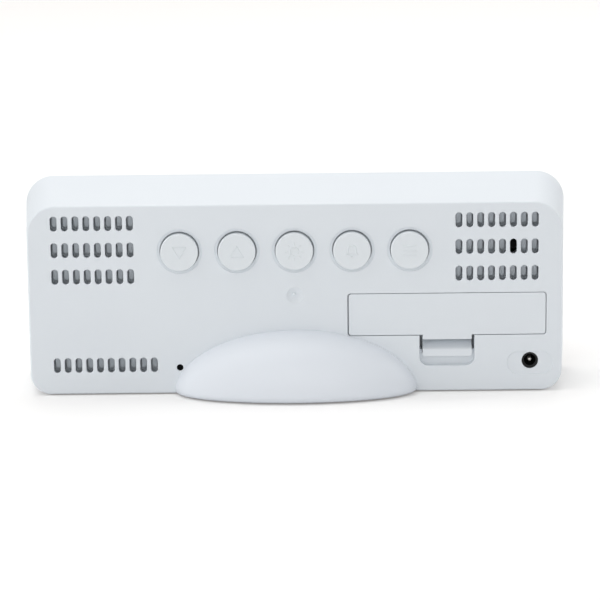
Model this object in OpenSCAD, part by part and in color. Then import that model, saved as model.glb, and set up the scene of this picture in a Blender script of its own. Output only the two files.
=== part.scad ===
// Desk alarm clock. A white one-piece shell is open at the front for a mirror display.
// Its rear face has five round keys, vents, a battery door and a power socket, and a domed
// foot stands behind it. Millimetres. X runs across, Y from front to rear, Z up, table at 0.

/* [Body] */
// Width of the rear face
rear_w = 165.6; // [160:0.2:190]
// Height of the rear face
rear_h = 60.4; // [58:0.2:72]
// Depth from the front rim to the rear face
body_d = 33; // [31:0.5:45]
// How far the top and each side lean out between the rear face and the front rim
draft = 3.75; // [1:0.05:5]
// Corner radius of the body
corner_r = 9; // [6:0.5:12]
// Rounding between the rear face and the sides
edge_r = 0.7; // [0.6:0.1:2]
// Thickness of the sides, top and bottom
wall = 2; // [1.6:0.1:2.6]
// Thickness of the rear wall
rear_wall = 2.4; // [2:0.1:3]

/* [Pads] */
// Diameter of a rubber pad
pad_d = 6; // [4:0.5:8]
// Thickness of a rubber pad
pad_t = 1; // [0.8:0.1:1.4]
// Height of the body above the table
ground = 0.4; // [0.2:0.1:0.6]
// Distance of the front pads from the middle
pad_front_x = 66; // [40:1:72]
// Distance of the front pads from the front rim
pad_front_y = 7; // [6:0.5:12]

/* [Vents] */
// Width of a slot
slot_w = 2.1; // [1.6:0.1:2.6]
// Height of a slot, round ends included
slot_h = 4.7; // [4:0.1:6]
// Distance from slot to slot in a row
slot_pitch = 3.4; // [3:0.1:3.6]
// Distance from row to row
slot_row_pitch = 8.5; // [7:0.1:9]
// Slots in a row of the two upper groups
slot_columns = 8; // [4:1:8]
// Rows in each upper group
slot_rows = 3; // [1:1:3]
// Slots in the low row
low_columns = 10; // [4:1:10]
// Depth of a blind slot
slot_depth = 4; // [3:0.1:4.4]
// Distance of the outermost slot from the side of the rear face
slot_side = 7.6; // [6:0.2:10]
// Distance of the top row from the top of the rear face
slot_top = 5.6; // [5:0.2:8]
// Height of the low row above the table
low_row_z = 9.8; // [7:0.2:14]

/* [Keys] */
// Diameter of a key cap
key_d = 11.7; // [9:0.1:12.4]
// Gap round a key cap
key_gap = 0.3; // [0.2:0.05:0.4]
// Distance from key to key
key_pitch = 18; // [17:0.5:20]
// Height of the keys above the table
key_z = 46; // [44:0.5:50]
// How far a key stands proud of the rear face
key_proud = 1.3; // [0.9:0.1:1.8]
// Travel of a key
key_travel = 0.5; // [0.3:0.05:0.6]
// Rounding of a key's edge
key_edge_r = 0.4; // [0.3:0.1:1]
// Width of the raised collar round a key
collar_w = 0.8; // [0.6:0.1:1.2]
// Height of the collar
collar_h = 0.3; // [0.1:0.05:0.4]
// Flange behind the rear wall that keeps a key in
key_flange_w = 1; // [0.8:0.1:1.2]
// Thickness of that flange
key_flange_t = 1; // [0.8:0.1:1.2]

/* [Battery door] */
// Width of the door recess
door_w = 62.4; // [58:0.1:66]
// Height of the door recess
door_h = 13.7; // [13.4:0.1:15]
// Distance of the door's middle from the middle of the body
door_u = 47.6; // [45:0.2:48]
// Height of the recess's lower edge above the table
door_z = 18.3; // [18:0.1:21]
// Thickness of the door
door_t = 1.8; // [1.4:0.1:2]
// Gap round the door
door_gap = 0.2; // [0.15:0.05:0.3]
// Corner radius of the recess
door_r = 1; // [0.5:0.1:2]
// Diameter of the battery cell
cell_d = 10.5; // [10:0.1:10.6]
// Length of the battery cell
cell_l = 44.5; // [40:0.5:46]
// Thickness of the battery bay's walls
bay_wall = 1.4; // [1:0.1:1.8]
// Distance of the two lugs from the door's middle
lug_u = 21; // [14:0.5:24]
// Width of a lug
lug_w = 5; // [3:0.5:7]

/* [Latch] */
// Width of the finger recess
recess_w = 17.3; // [14:0.1:20]
// Height of the recess's lower edge above the table
recess_z = 8.5; // [8:0.1:9.4]
// Width of the slit on each side of the latch
slit_w = 0.8; // [0.5:0.1:1]
// Height of the latch's mouth, between its two legs
mouth_h = 3.5; // [3:0.1:3.6]
// Thickness of the spring leg
leg_t = 1; // [0.8:0.05:1.2]
// How far the door's tab hangs below the door
tab_h = 1.3; // [1:0.1:1.6]
// Depth of the spring's bend below the rear face
bend_depth = 4.6; // [4.2:0.1:5.4]
// Height of the thumb lip
lip_h = 2; // [1.6:0.1:2.4]
// How far the lip lies below the rear face
lip_set = 0.9; // [0.7:0.1:1.2]
// Bite of the hook under its ledge
hook_bite = 0.4; // [0.3:0.05:0.5]

/* [Power socket] */
// Distance of the socket from the middle of the body
jack_u = 73.7; // [72:0.1:74]
// Height of the socket above the table
jack_z = 9.9; // [9.4:0.1:11]
// Diameter of the hole in the rear wall
jack_hole_d = 5.2; // [4.4:0.1:5.6]
// Diameter of the socket's bore
jack_bore_d = 3.8; // [3.6:0.1:4.2]
// Diameter of the socket's centre pin
jack_pin_d = 1.3; // [1:0.05:1.7]
// Width of the shallow dish round the socket
dish_w = 14.4; // [12:0.2:16]
// Height of the dish
dish_h = 7.4; // [6:0.2:8]
// Depth of the dish
dish_depth = 0.3; // [0.2:0.05:0.4]

/* [Foot] */
// Width of the foot at its widest, where it meets the rear face
foot_w = 76.2; // [60:0.2:84]
// Height of the foot's top above the table
foot_h = 20.5; // [16:0.1:24]
// How far the foot reaches behind the rear face
foot_out = 15.6; // [12:0.2:20]
// Rounding of the foot's lower edge
foot_edge_r = 2; // [1:0.1:2.4]
// Wall of the hollow foot
foot_wall = 2; // [1.6:0.1:2.4]
// Distance of the foot's screws from the middle
foot_screw_u = 18; // [12:0.5:20]
// Height of the foot's screws above the table
foot_screw_z = 9; // [7:0.2:11]

/* [Sensors] */
// Distance of the microphone hole from the middle
mic_u = 36.5; // [36.1:0.2:39]
// Height of the microphone hole above the table
mic_z = 8.6; // [8:0.1:11]
// Diameter of the microphone hole
mic_hole_d = 1.9; // [1:0.1:2.4]
// Diameter of the microphone
mic_d = 6; // [5:0.2:7]
// Diameter of the moulding's gate dimple
gate_d = 5.6; // [3:0.1:6]
// Height of the dimple above the table
gate_z = 31.6; // [28:0.2:34]

/* [Display] */
// Thickness of the mirror lens
lens_t = 2; // [1.5:0.1:2.5]
// How far the lens lies below the front rim
lens_set = 0.3; // [0.1:0.1:0.6]
// Width of the rim round the lens
rim_w = 1.1; // [0.8:0.1:1.4]
// Gap round the lens
lens_gap = 0.15; // [0.1:0.05:0.3]
// Thickness of the adhesive tape
tape_t = 0.2; // [0.1:0.05:0.4]
// Thickness of the display frame
frame_t = 2; // [1.6:0.1:2.4]
// Width of the window in the display frame
window_w = 138; // [130:1:139]
// Height of the window in the display frame
window_h = 36; // [34:0.5:37]
// Width of the reflector and the main board
board_w = 150; // [148:1:152]
// Height of the reflector and the main board
board_h = 40; // [38:0.5:41]
// Thickness of the reflector
reflector_t = 6; // [5:0.1:6.5]
// Height of a digit
digit_h = 32; // [26:0.5:33]
// Width of a digit
digit_w = 19; // [14:0.5:20]
// Width of a segment
segment_w = 3; // [2:0.1:3.4]
// Distance of the inner digits from the middle
digit_inner_x = 18; // [15:0.5:20]
// Distance of the outer digits from the middle
digit_outer_x = 46; // [41:0.5:52]
// Thickness of the circuit boards
pcb_t = 1.6; // [1:0.1:1.6]
// Diameter of the buzzer
buzzer_d = 12; // [9:0.5:14]
// Height of the buzzer
buzzer_h = 8; // [5:0.5:9]

/* [Screws] */
// Shank diameter of the frame and foot screws
screw_d = 2; // [1.8:0.1:2.4]
// Length of the frame and foot screws under their heads
screw_l = 8; // [7:0.5:8]
// Shank diameter of the board screws
small_screw_d = 1.6; // [1.4:0.1:1.8]
// Length of the board screws under their heads
small_screw_l = 5; // [4:0.5:5]
// Distance of the frame's posts from the middle
post_x = 63.5; // [62:0.5:65]

/* [Hidden] */
$fn = 64;
corner_fn = 32;         // facets of a hulled corner
fit = 0.1;              // slack of a piece that drops into its seat
over = 1;               // how far a cut runs past the face it opens
skin = 0.01;            // thickness of a slice that hull() joins

// Places along Y. The origin is in the middle of the whole depth, foot included.
front_y = -(body_d + foot_out) / 2;
rear_y = front_y + body_d;
front_w = rear_w + 2 * draft;
front_h = rear_h + draft;
front_mid_z = ground + front_h / 2;

// Places of the keys, in the order of their names.
key_names = ["down", "up", "light", "alarm", "mode"];
function key_u(i) = (i - (len(key_names) - 1) / 2) * key_pitch;
key_hole_d = key_d + 2 * key_gap;
key_flange_d = key_hole_d + 2 * key_flange_w;

// Vents: the sensor looks out through one slot of the right group.
slot_edge_u = rear_w / 2 - slot_side;
slot_top_z = ground + rear_h - slot_top;
sensor_column = 2;
sensor_row = 1;
slot_floor = 1;
sensor_u = slot_edge_u - sensor_column * slot_pitch;
sensor_z = slot_top_z - sensor_row * slot_row_pitch;

// Depths behind the rear face.
flange_depth = rear_wall + fit;
stem_depth = flange_depth + key_flange_t + 1.4;
switch_depth = stem_depth + 0.6;
switch_h = 3.5;
switch_w = 6;
plunger_d = 3.5;
plunger_l = 1.3;
key_pcb_depth = switch_depth + switch_h;
key_pcb_w = 2 * (key_u(4) + 13);
key_pcb_h = 15;
key_post_u = key_u(4) + 10;
key_post_d = 4.6;

// Battery bay.
door_ledge = door_t + door_gap;
bay_play = 0.9;
contact_t = 0.5;
bump_h = 1;
spring_free = 7;
spring_squeeze = 1.5;
bay_l = cell_l + 2 * contact_t + bump_h + spring_free - spring_squeeze;
bay_h = cell_d + bay_play;
bay_depth = door_ledge + cell_d + bay_play / 2;
door_mid_z = door_z + door_h / 2;
door_frame = 2;
lug_t = 1;
lug_rise = 1.1;
lug_root = 1.1;
lug_depth = rear_wall + door_gap;
lug_reach = norm([lug_depth + lug_t, lug_rise]);

// Latch.
latch_w = recess_w - 2 * slit_w;
mouth_top = door_z - tab_h;
mouth_low = mouth_top - mouth_h;
bend_r = mouth_h / 2;
bend_z = mouth_top - bend_r;
leg_low = mouth_low - leg_t;
pocket_depth = bend_depth + bend_r + leg_t + 0.5;
ledge_top = leg_low - 0.2;
ledge_in = 3.6;
scoop_depth = 2.6;
scoop_r = 0.8;
hook_w = 1.1;

// Foot: a quarter of an ellipsoid, whose middle lies on the rear face at the table's level.
// It is widest where the rounding of its lower edge ends.
foot_widest_z = ground + foot_edge_r;
foot_spread = 1 / sqrt(1 - pow(foot_widest_z / foot_h, 2));
foot_levels = 9;
foot_boss_d = 6;
foot_pad_x = 20;
foot_pad_y = 6;

// Display stack, measured from the front rim.
lens_back = lens_set + lens_t;
seat_depth = lens_back + tape_t;
frame_back = seat_depth + frame_t;
film_t = 0.2;
reflector_front = frame_back + film_t;
pcb_front = reflector_front + reflector_t;
pcb_back = pcb_front + pcb_t;
frame_inset = wall + draft * frame_back / body_d + 0.2;
post_d = 6;
post_low_z = 7.5;
post_high_z = front_mid_z + (front_mid_z - post_low_z) - 0.7;
board_post_x = board_w / 2 - 3;
board_post_z = board_h / 2 - 4;
board_post_d = 4;
led_h = 0.9;
led_l = 2;
led_w = 1.2;
colon_d = 3.4;
colon_z = digit_h / 5;
digit_places = [-digit_outer_x, -digit_inner_x, digit_inner_x, digit_outer_x];
buzzer_x = 56;
chip_w = 12;
chip_t = 1.6;
chip_x = 8;

// Power socket.
jack_w = 6.6;
jack_l = 11;
jack_set = rear_wall / 2;
jack_bore_l = 9;
jack_pin_set = 0.4;
cradle_t = 1.2;

// Microphone and temperature sensor.
mic_l = 2.7;
sleeve_t = 0.8;
sleeve_l = mic_l + 0.5;
sleeve_d = mic_d + 2 * sleeve_t;
mic_ring_t = 1;
mic_ring_l = sleeve_l + 0.2;
bead_d = 2.6;
bead_l = 3;
sensor_wire_r = 0.3;

// Cables. Each ends square on the back of the main board.
wire_r = 0.5;
lead_turn = bay_wall + wire_r + fit;
lead_straight = 1;
ribbon_w = 8;
ribbon_t = 0.9;
ribbon_x = key_pitch * 1.2;
ribbon_drop = 4;

white = "#dde2e6";
cap_white = "#dfe4e8";

// ---- places ----

// Draws its children on the rear face: u runs to the right as seen from behind, v is the
// height above the table, and the children's own Z points out of the face.
module on_rear(u, v, out = 0)
    translate([0, rear_y, 0]) rotate([90, 0, 180]) translate([u, v, out]) children();

// Draws its children at a depth behind the front rim, with their own Z pointing forwards.
module on_front(x, z, depth = 0)
    translate([0, front_y, 0]) rotate([90, 0, 0]) translate([x, z, -depth]) children();

// Runs a side view across the body: its X is the distance out of the rear face, its Y the
// height above the table.
module across(u, w)
    translate([-u, rear_y, 0]) rotate([90, 0, 90]) linear_extrude(w, center = true) children();

// ---- shapes ----

// Rectangle with round corners, about its own middle.
module round_rect(w, h, r) {
    square([w, h - 2 * r], center = true);
    square([w - 2 * r, h], center = true);
    for (x = [-1, 1], y = [-1, 1])
        translate([x * (w / 2 - r), y * (h / 2 - r)]) circle(r);
}

// Slot with round ends, upright.
module slot_outline(w = slot_w, h = slot_h) {
    square([w, h - w], center = true);
    for (y = [-1, 1])
        translate([0, y * (h - w) / 2]) circle(d = w, $fn = 24);
}

// Ring of a given section swept along a route. The reference is a direction that no
// stretch of the route runs along.
module sweep(route, section, reference) {
    last = len(route) - 1;
    sides = len(section);
    function along(i) = route[min(i + 1, last)] - route[max(i - 1, 0)];
    function unit(v) = v / norm(v);
    function side(i) = unit(cross(along(i), reference));
    function up(i) = unit(cross(side(i), along(i)));
    rings = [for (i = [0 : last], p = section) route[i] + p[0] * side(i) + p[1] * up(i)];
    walls = [for (i = [0 : last - 1], k = [0 : sides - 1])
        let (a = i * sides + k, b = i * sides + (k + 1) % sides)
        each [[a, b, a + sides], [b, b + sides, a + sides]]];
    ends = [[for (k = [sides - 1 : -1 : 0]) k], [for (k = [0 : sides - 1]) last * sides + k]];
    polyhedron(rings, concat(walls, ends));
}

function ring(r, sides = 8) = [for (k = [0 : sides - 1]) r * [cos(k * 360 / sides), sin(k * 360 / sides)]];

// Screw with its head's underside at Z = 0 and its shank pointing down.
module screw(d, l, head_d, head_h) {
    difference() {
        cylinder(d = head_d, h = head_h, $fn = 32);
        for (a = [0, 90])
            rotate([0, 0, a]) translate([0, 0, head_h]) cube([head_d * 0.6, d * 0.25, head_h], center = true);
    }
    translate([0, 0, -l]) cylinder(d = d, h = l, $fn = 24);
}

// Corners of one slice through the drafted body.
module body_slice(depth, inset, r)
    for (side = [-1, 1], top = [0, 1]) {
        grow = draft * depth / body_d;
        z = top == 1 ? ground + rear_h + grow - inset - r : ground + inset + r;
        on_rear(side * (rear_w / 2 + grow - inset - r), z, -depth - skin)
            cylinder(r = r, h = skin, $fn = corner_fn);
    }

// ---- rear shell ----

module tub() difference() {
    hull() {
        for (a = [0, 30, 60, 90]) {
            inset = edge_r * (1 - sin(a));
            body_slice(edge_r * (1 - cos(a)), inset, corner_r - inset);
        }
        body_slice(body_d - skin, 0, corner_r);
    }
    hull() {
        body_slice(rear_wall, wall, corner_r - wall);
        body_slice(body_d + over, wall, corner_r - wall);
    }
}

// Places of the two upper groups and the low row of slots.
module at_slots() {
    for (side = [-1, 1], i = [0 : slot_columns - 1], row = [0 : slot_rows - 1])
        translate([side * (slot_edge_u - i * slot_pitch), slot_top_z - row * slot_row_pitch]) children();
    for (i = [0 : low_columns - 1])
        translate([i * slot_pitch - slot_edge_u, low_row_z]) children();
}

// Thicker patches of the rear wall, one behind each group of slots.
module slot_pads() on_rear(0, 0, -slot_depth - slot_floor)
    linear_extrude(slot_depth + slot_floor - rear_wall / 2) {
        for (side = [-1, 1])
            slot_pad(side * (slot_edge_u - (slot_columns - 1) * slot_pitch / 2),
                slot_top_z - (slot_rows - 1) * slot_row_pitch / 2, slot_columns, slot_rows);
        slot_pad((low_columns - 1) * slot_pitch / 2 - slot_edge_u, low_row_z, low_columns, 1);
    }

module slot_pad(u, z, columns, rows)
    translate([u, z])
        round_rect((columns - 1) * slot_pitch + slot_w + 2 * slot_floor,
            (rows - 1) * slot_row_pitch + slot_h + 2 * slot_floor, slot_w / 2 + slot_floor - skin);

// All slots are blind but the sensor's, which opens into a bore for its bead.
module slots() {
    on_rear(0, 0, -slot_depth) linear_extrude(slot_depth + over) at_slots() slot_outline();
    on_rear(sensor_u, sensor_z, -slot_depth - slot_floor - over) {
        linear_extrude(slot_depth + slot_floor + 2 * over) slot_outline();
        cylinder(d = bead_d + 0.4, h = slot_depth + slot_floor + over - rear_wall, $fn = 32);
    }
}

// Raised bead round a key hole.
module collar() rotate_extrude()
    polygon([[key_hole_d / 2 - skin, -rear_wall / 2], [key_hole_d / 2 - skin, collar_h * 0.6],
        [key_hole_d / 2 + collar_w * 0.25, collar_h], [key_hole_d / 2 + collar_w * 0.6, collar_h],
        [key_hole_d / 2 + collar_w, 0], [key_hole_d / 2 + collar_w, -rear_wall / 2]]);

// Post that stands on the inner side of the rear wall.
module rear_post(u, z, d, top)
    on_rear(u, z, -top) cylinder(d = d, h = top - rear_wall / 2);

module frame_posts()
    for (side = [-1, 1], z = [post_low_z, post_high_z])
        rear_post(side * post_x, z, post_d, body_d - frame_back);

module frame_post_pilots()
    for (side = [-1, 1], z = [post_low_z, post_high_z])
        on_front(side * post_x, z, frame_back + screw_l) cylinder(d = screw_d + fit, h = screw_l + over);

module key_posts()
    for (side = [-1, 1])
        rear_post(side * key_post_u, key_z, key_post_d, key_pcb_depth);

module key_post_pilots()
    for (side = [-1, 1])
        on_rear(side * key_post_u, key_z, -key_pcb_depth - over)
            cylinder(d = small_screw_d + fit, h = small_screw_l + over, $fn = 24);

// Tray behind the battery door: a frame for the door and a box for the cell.
module bay_walls() {
    on_rear(door_u, door_mid_z, -door_ledge - bay_wall)
        linear_extrude(door_ledge + bay_wall - rear_wall / 2)
            square([door_w + 2 * bay_wall, door_h + 2 * door_frame], center = true);
    on_rear(door_u, door_mid_z, -bay_depth - bay_wall)
        linear_extrude(bay_depth + bay_wall - rear_wall / 2)
            square([bay_l + 2 * bay_wall, bay_h + 2 * bay_wall], center = true);
}

module bay_space() {
    on_rear(door_u, door_mid_z, -door_ledge)
        linear_extrude(door_ledge + over) round_rect(door_w, door_h, door_r);
    on_rear(door_u, door_mid_z, -bay_depth)
        linear_extrude(bay_depth) square([bay_l, bay_h], center = true);
    for (side = [-1, 1]) {
        lug_slot(side, door_mid_z + door_h / 2, door_ledge - skin, 1.5);
        lug_slot(side, door_mid_z + door_h / 2 + lug_rise, rear_wall, lug_rise + 0.2);
        lead_hole(side);
    }
}

// Slot for a lug, from its top edge down.
module lug_slot(side, top_z, from_depth, h)
    on_rear(door_u + side * lug_u, top_z - h / 2, -lug_reach - 0.2)
        linear_extrude(lug_reach + 0.2 - from_depth) square([lug_w + 0.6, h], center = true);

// Hole for a battery lead in an end wall of the bay.
module lead_hole(side)
    translate([-door_u + side * bay_l / 2, rear_y - bay_depth + 2, door_mid_z])
        rotate([0, 90, 0]) cylinder(d = 2 * wire_r + 0.6, h = 2 * bay_wall + over, center = true, $fn = 24);

// Block behind the finger recess.
module latch_block()
    on_rear(door_u, (door_z + recess_z) / 2, -pocket_depth - bay_wall)
        linear_extrude(pocket_depth + bay_wall - rear_wall / 2)
            square([recess_w + 2 * bay_wall, door_z - recess_z + 2 * bay_wall], center = true);

module latch_space() {
    across(door_u, recess_w) {
        translate([-door_ledge, ledge_top]) square([door_ledge + over, door_z + skin - ledge_top]);
        translate([-pocket_depth, ledge_top])
            square([pocket_depth + over, mouth_top + leg_t + 0.4 - ledge_top]);
        translate([-pocket_depth, ledge_top - hook_bite - 0.5])
            square([pocket_depth - ledge_in, hook_bite + 0.5 + skin]);
    }
    intersection() {
        on_rear(door_u, recess_z, -scoop_depth - over) linear_extrude(scoop_depth + 2 * over)
            translate([0, recess_w / 2]) round_rect(recess_w, recess_w, 2);
        across(door_u, recess_w) scoop_side();
    }
}

// Side view of the finger scoop: an upright back, with a round corner at its foot.
module scoop_side() {
    translate([-scoop_depth + scoop_r, recess_z])
        square([scoop_depth - scoop_r + over, ledge_top + skin - recess_z]);
    translate([-scoop_depth, recess_z + scoop_r])
        square([scoop_r + skin, ledge_top + skin - recess_z - scoop_r]);
    translate([-scoop_depth + scoop_r, recess_z + scoop_r]) circle(scoop_r, $fn = 32);
}

// Two ribs that hold the power socket.
module jack_cradle()
    for (side = [-1, 1])
        on_rear(jack_u + side * (jack_w / 2 + fit + cradle_t / 2), jack_z, -jack_set - jack_l)
            linear_extrude(jack_l) square([cradle_t, jack_w], center = true);

// Hole for the plug, a seat for the socket's front end, and the dish round the hole.
module jack_opening() {
    on_rear(jack_u, jack_z, -rear_wall - over) cylinder(d = jack_hole_d, h = rear_wall + 2 * over);
    on_rear(jack_u, jack_z, -rear_wall - over)
        linear_extrude(rear_wall + over - jack_set) square(jack_w + fit, center = true);
    on_rear(jack_u, jack_z - 0.7, -dish_depth) linear_extrude(dish_depth + over)
        round_rect(dish_w, dish_h, dish_h / 2 - skin);
}

module mic_ring()
    rear_post(-mic_u, mic_z, sleeve_d + 2 * mic_ring_t, rear_wall + mic_ring_l);

module mic_space() {
    on_rear(-mic_u, mic_z, -rear_wall - over) cylinder(d = mic_hole_d, h = rear_wall + 2 * over, $fn = 32);
    on_rear(-mic_u, mic_z, -rear_wall - mic_ring_l - over) cylinder(d = sleeve_d + fit, h = mic_ring_l + over);
}

module gate_dimple() {
    on_rear(0, gate_z, gate_d * sqrt(0.75 * 0.75 - 0.25)) sphere(d = gate_d * 1.5);
}

module foot_screw_holes()
    for (side = [-1, 1])
        on_rear(side * foot_screw_u, foot_screw_z, -rear_wall - over)
            cylinder(d = screw_d + 0.6, h = rear_wall + 2 * over, $fn = 32);

module at_pads() {
    for (side = [-1, 1]) {
        translate([side * pad_front_x, front_y + pad_front_y, 0]) children();
        translate([side * foot_pad_x, rear_y + foot_pad_y, 0]) children();
    }
}

module pad_seats() at_pads() cylinder(d = pad_d + fit, h = pad_t);

module lens_seat()
    on_front(0, front_mid_z, seat_depth) linear_extrude(seat_depth + over)
        round_rect(front_w - 2 * rim_w, front_h - 2 * rim_w, corner_r - rim_w);

module rear_shell() color(white) difference() {
    union() {
        tub();
        for (i = [0 : len(key_names) - 1])
            on_rear(key_u(i), key_z) collar();
        slot_pads();
        frame_posts();
        key_posts();
        bay_walls();
        latch_block();
        jack_cradle();
        mic_ring();
    }
    slots();
    for (i = [0 : len(key_names) - 1])
        on_rear(key_u(i), key_z, -rear_wall - over) cylinder(d = key_hole_d, h = rear_wall + 2 * over);
    frame_post_pilots();
    key_post_pilots();
    bay_space();
    latch_space();
    jack_opening();
    mic_space();
    gate_dimple();
    foot_screw_holes();
    pad_seats();
    lens_seat();
}

// ---- front ----

module front_lens() color("#15171a")
    on_front(0, front_mid_z, lens_back) linear_extrude(lens_t)
        round_rect(front_w - 2 * (rim_w + lens_gap), front_h - 2 * (rim_w + lens_gap),
            corner_r - rim_w - lens_gap);

module lens_tape() color("#26282b") {
    tape_in = rim_w + lens_gap + 0.4;
    on_front(0, front_mid_z, seat_depth) linear_extrude(tape_t) difference() {
        round_rect(front_w - 2 * tape_in, front_h - 2 * tape_in, corner_r - tape_in);
        square([window_w + 4, window_h + 4], center = true);
    }
}

module display_frame() color("#303236") difference() {
    union() {
        on_front(0, front_mid_z, frame_back) linear_extrude(frame_t) difference() {
            round_rect(front_w - 2 * frame_inset, front_h - 2 * frame_inset, corner_r - wall - 0.4);
            square([window_w, window_h], center = true);
        }
        at_board_posts(pcb_front) cylinder(d = board_post_d, h = pcb_front - frame_back + frame_t / 2);
    }
    for (side = [-1, 1], z = [post_low_z, post_high_z]) {
        on_front(side * post_x, z, frame_back + over) cylinder(d = screw_d + 0.4, h = frame_t + 2 * over);
        on_front(side * post_x, z, seat_depth + 1.3) cylinder(d = screw_d * 2 + 0.4, h = 1.3 + over);
    }
    at_board_posts(pcb_front + over) cylinder(d = small_screw_d + fit, h = small_screw_l + over, $fn = 24);
}

module at_board_posts(depth)
    for (x = [-1, 1], z = [-1, 1])
        on_front(x * board_post_x, front_mid_z + z * board_post_z, depth) children();

module frame_screws() color("silver")
    for (side = [-1, 1], z = [post_low_z, post_high_z])
        on_front(side * post_x, z, seat_depth + 1.3) screw(screw_d, screw_l, screw_d * 2, 1.2);

module segment_diffuser() color("#e8e4d8")
    on_front(0, front_mid_z, reflector_front) linear_extrude(film_t)
        square([window_w - 2, board_h - 1], center = true);

// The seven bars of a digit as [x, y, turn], about the digit's middle.
function bars() = let (w = digit_w / 2 - segment_w / 2, h = digit_h / 2 - segment_w / 2)
    [[0, h, 0], [0, 0, 0], [0, -h, 0], [-w, h / 2, 90], [w, h / 2, 90], [-w, -h / 2, 90], [w, -h / 2, 90]];

module bar_outline(l)
    polygon([[-l / 2, 0], [-l / 2 + segment_w / 2, segment_w / 2], [l / 2 - segment_w / 2, segment_w / 2],
        [l / 2, 0], [l / 2 - segment_w / 2, -segment_w / 2], [-l / 2 + segment_w / 2, -segment_w / 2]]);

module all_bars()
    for (x = digit_places, bar = bars())
        translate([x + bar[0], bar[1]]) rotate(bar[2])
            bar_outline((bar[2] == 0 ? digit_w : digit_h / 2) - segment_w - 0.6);

module segment_reflector() color("#f0f0ee") difference() {
    on_front(0, front_mid_z, pcb_front) linear_extrude(reflector_t)
        round_rect(board_w, board_h, 1.5);
    on_front(0, front_mid_z, pcb_front + over) linear_extrude(reflector_t + 2 * over) {
        all_bars();
        for (z = [-1, 1]) translate([0, z * colon_z]) circle(d = colon_d);
    }
    at_board_posts(pcb_front + over) cylinder(d = board_post_d + 0.4, h = reflector_t + 2 * over);
}

module segment_leds() color("#f4f1e4")
    on_front(0, front_mid_z, pcb_front) linear_extrude(led_h) {
        for (x = digit_places, bar = bars())
            translate([x + bar[0], bar[1]]) rotate(bar[2]) square([led_l, led_w], center = true);
        for (z = [-1, 1]) translate([0, z * colon_z]) square([led_l, led_w], center = true);
    }

module main_pcb() color("#1f5b38") difference() {
    on_front(0, front_mid_z, pcb_back) linear_extrude(pcb_t) round_rect(board_w, board_h, 1.5);
    at_board_posts(pcb_back + over) cylinder(d = small_screw_d + 0.4, h = pcb_t + 2 * over, $fn = 24);
}

module pcb_screws() color("silver")
    at_board_posts(pcb_back) rotate([180, 0, 0]) screw(small_screw_d, small_screw_l, small_screw_d * 2, 1);

module control_chip() color("#222426")
    on_front(chip_x, front_mid_z, pcb_back + chip_t) linear_extrude(chip_t) round_rect(chip_w, chip_w, 0.4);

module buzzer() color("#1b1c1e") difference() {
    on_front(buzzer_x, front_mid_z, pcb_back + buzzer_h) cylinder(d = buzzer_d, h = buzzer_h);
    on_front(buzzer_x, front_mid_z, pcb_back + buzzer_h + over) cylinder(d = 2, h = 3, $fn = 24);
}

// ---- keys ----

module key_pcb() color("#1f5b38") difference() {
    on_rear(0, key_z, -key_pcb_depth - pcb_t) linear_extrude(pcb_t) round_rect(key_pcb_w, key_pcb_h, 1);
    for (side = [-1, 1])
        on_rear(side * key_post_u, key_z, -key_pcb_depth - pcb_t - over)
            cylinder(d = small_screw_d + 0.4, h = pcb_t + 2 * over, $fn = 24);
}

module key_pcb_screws() color("silver")
    for (side = [-1, 1])
        on_rear(side * key_post_u, key_z, -key_pcb_depth - pcb_t)
            rotate([180, 0, 0]) screw(small_screw_d, small_screw_l, small_screw_d * 2, 1);

module tact_switches() color("#2a2c2f")
    for (i = [0 : len(key_names) - 1])
        on_rear(key_u(i), key_z, -key_pcb_depth) difference() {
            translate([-switch_w / 2, -switch_w / 2, 0]) cube([switch_w, switch_w, switch_h]);
            translate([0, 0, switch_h - plunger_l - key_travel + 0.5])
                cylinder(d = plunger_d + 0.16, h = plunger_l + key_travel);
        }

module key_cap(i) color(cap_white) on_rear(key_u(i), key_z) {
    rotate_extrude() {
        translate([0, -flange_depth - key_flange_t / 2]) {
            h = flange_depth + key_flange_t / 2 + key_proud;
            square([key_d / 2 - key_edge_r, h]);
            square([key_d / 2, h - key_edge_r]);
            translate([key_d / 2 - key_edge_r, h - key_edge_r]) circle(key_edge_r);
        }
    }
    translate([0, 0, -flange_depth - key_flange_t]) cylinder(d = key_flange_d, h = key_flange_t);
    translate([0, 0, -stem_depth]) cylinder(d = plunger_d, h = stem_depth - flange_depth);
}

module plunger(i) color("#3a3c40")
    on_rear(key_u(i), key_z, -stem_depth - plunger_l) cylinder(d = plunger_d, h = plunger_l);

// Flat cable from the key board down to the main board.
module key_ribbon() color("#8d9196") {
    start_y = rear_y - key_pcb_depth - pcb_t;
    end_y = front_y + pcb_back;
    z = key_z - 4;
    x = ribbon_x;
    room = start_y - end_y;
    sweep([[x, start_y, z], [x, start_y - 0.15 * room, z], [x, start_y - 0.32 * room, z - 0.2 * ribbon_drop],
            [x, start_y - 0.5 * room, z - 0.45 * ribbon_drop], [x, start_y - 0.7 * room, z - 0.8 * ribbon_drop],
            [x, end_y + lead_straight, z - ribbon_drop], [x, end_y, z - ribbon_drop]],
        [[-ribbon_w / 2, -ribbon_t / 2], [ribbon_w / 2, -ribbon_t / 2],
            [ribbon_w / 2, ribbon_t / 2], [-ribbon_w / 2, ribbon_t / 2]], [0, 0.05, 1]);
}

// ---- battery door ----

module battery_door() color(white) {
    on_rear(door_u, door_mid_z, -door_t) linear_extrude(door_t) {
        round_rect(door_w - 2 * door_gap, door_h - 2 * door_gap, door_r - door_gap);
        translate([-latch_w / 2, mouth_top - door_mid_z]) square([latch_w, tab_h + 2]);
    }
    for (side = [-1, 1])
        across(door_u + side * lug_u, lug_w) lug_side();
}

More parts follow.
